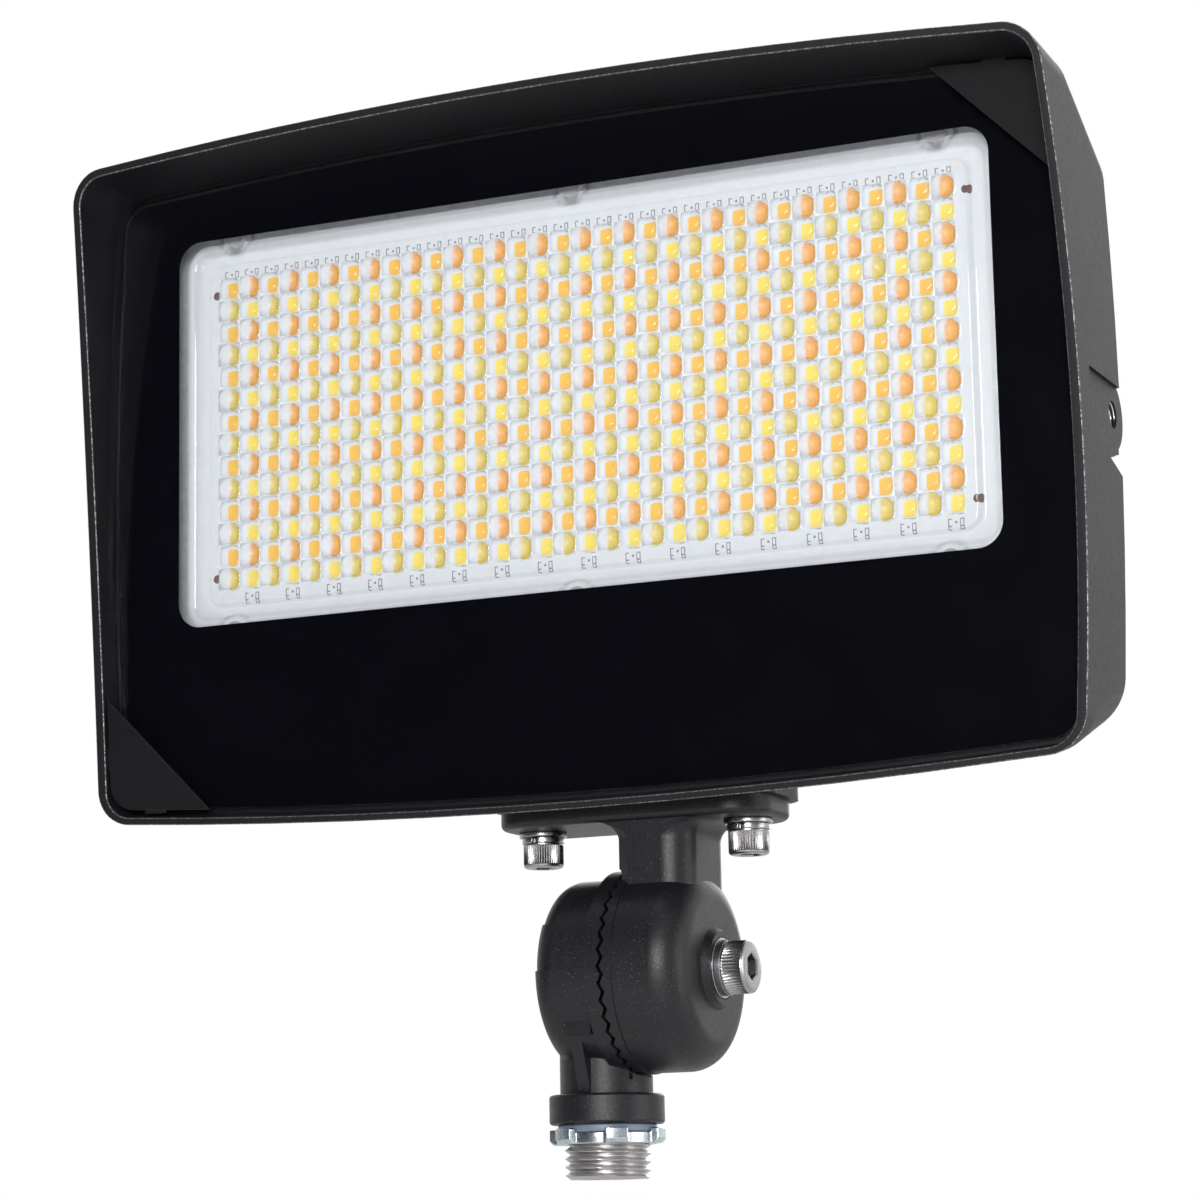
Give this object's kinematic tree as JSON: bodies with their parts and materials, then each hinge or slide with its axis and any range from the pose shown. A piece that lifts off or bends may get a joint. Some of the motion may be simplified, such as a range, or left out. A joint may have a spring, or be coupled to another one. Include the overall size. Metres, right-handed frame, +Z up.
{
  "type": "flood light",
  "caption": "Rectangular outdoor LED flood light with a visor rim and clear window, on a toothed tilting knuckle with a threaded conduit nipple and locknut.",
  "frame": {"origin": "on the nipple's axis at the seating face under the collar, which rests on the box or post", "axes": "+Z up along the nipple's axis, -Y the way the lit window faces, X along the knuckle's pivot"},
  "size_m": [0.2692, 0.0731, 0.2684],
  "materials": {
    "housing_paint": "charcoal powder coat on die-cast aluminium",
    "knuckle_paint": "fine textured charcoal powder coat",
    "corner_paint": "charcoal coat",
    "stainless": "plain stainless steel",
    "zinc": "bright zinc with a blue tint",
    "clear_glass": "polished toughened glass",
    "black_enamel": "fired black enamel behind glass",
    "silicone": "grey silicone",
    "seal_rubber": "black rubber",
    "seal_washer_blue": "blue grey sealing washer",
    "white_mask": "white solder mask",
    "green_mask": "green solder mask",
    "grey_pad": "soft heat-conducting sheet",
    "phosphor_warm": "orange phosphor",
    "phosphor_cool": "yellow phosphor",
    "clear_lens": "clear moulded lens plate",
    "driver_case": "plain aluminium case",
    "switch_black": "black switch body",
    "knob_white": "white knob",
    "plug_plastic": "black screw plug"
  },
  "bodies": {
    "base": {"knuckle_lower": "knuckle_paint", "pivot_nut": "zinc"},
    "head": {"knuckle_upper": "knuckle_paint", "pivot_bolt": "stainless", "pivot_washer": "stainless", "pivot_split_washer": "stainless", "wire_way_ring": "seal_rubber", "mount_screws": "stainless", "mount_split_washers": "stainless", "mount_flat_washers": "stainless", "housing": "housing_paint", "window_glass": "clear_glass", "glass_print": "black_enamel", "glass_seal": "silicone", "corner_plate_top": "corner_paint", "corner_plate_bottom": "corner_paint", "led_board": "white_mask", "heat_pad": "grey_pad", "leds_warm": "phosphor_warm", "leds_cool": "phosphor_cool", "lens_plate": "clear_lens", "lens_screws": "stainless", "driver": "driver_case", "driver_screws": "zinc", "driver_cover": "housing_paint", "driver_cover_seal": "silicone", "driver_cover_screws": "stainless", "switch_board": "green_mask", "switch_body": "switch_black", "switch_plug": "plug_plastic", "switch_plug_ring": "seal_rubber"},
    "selector_knob": {"switch_knob": "knob_white"},
    "seal_washer": {"sealing_washer": "seal_washer_blue"},
    "nipple_nut": {"locknut": "zinc"}
  },
  "joints": [
    {"name": "knuckle_tilt", "type": "hinge", "parent": "base", "child": "head", "pos_m": [0, 0, 0.0367], "axis": [1, 0, 0], "range_deg": [-90, 90]},
    {"name": "selector_slide", "type": "slide", "parent": "head", "child": "selector_knob", "axis": [0, 0, 1], "range_m": [-0.002, 0.002]},
    {"name": "washer_slide", "type": "slide", "parent": "base", "child": "seal_washer", "axis": [0, 0, -1], "range_m": [0, 0.007]},
    {"name": "locknut_turn", "type": "hinge", "parent": "seal_washer", "child": "nipple_nut", "pos_m": [0, 0, -0.0034], "axis": [0, 0, -1], "range_deg": [0, 1260]}
  ],
  "couplings": [
    {"joint": "locknut_turn", "follows": "washer_slide", "rad_per_m": 3141.6}
  ]
}
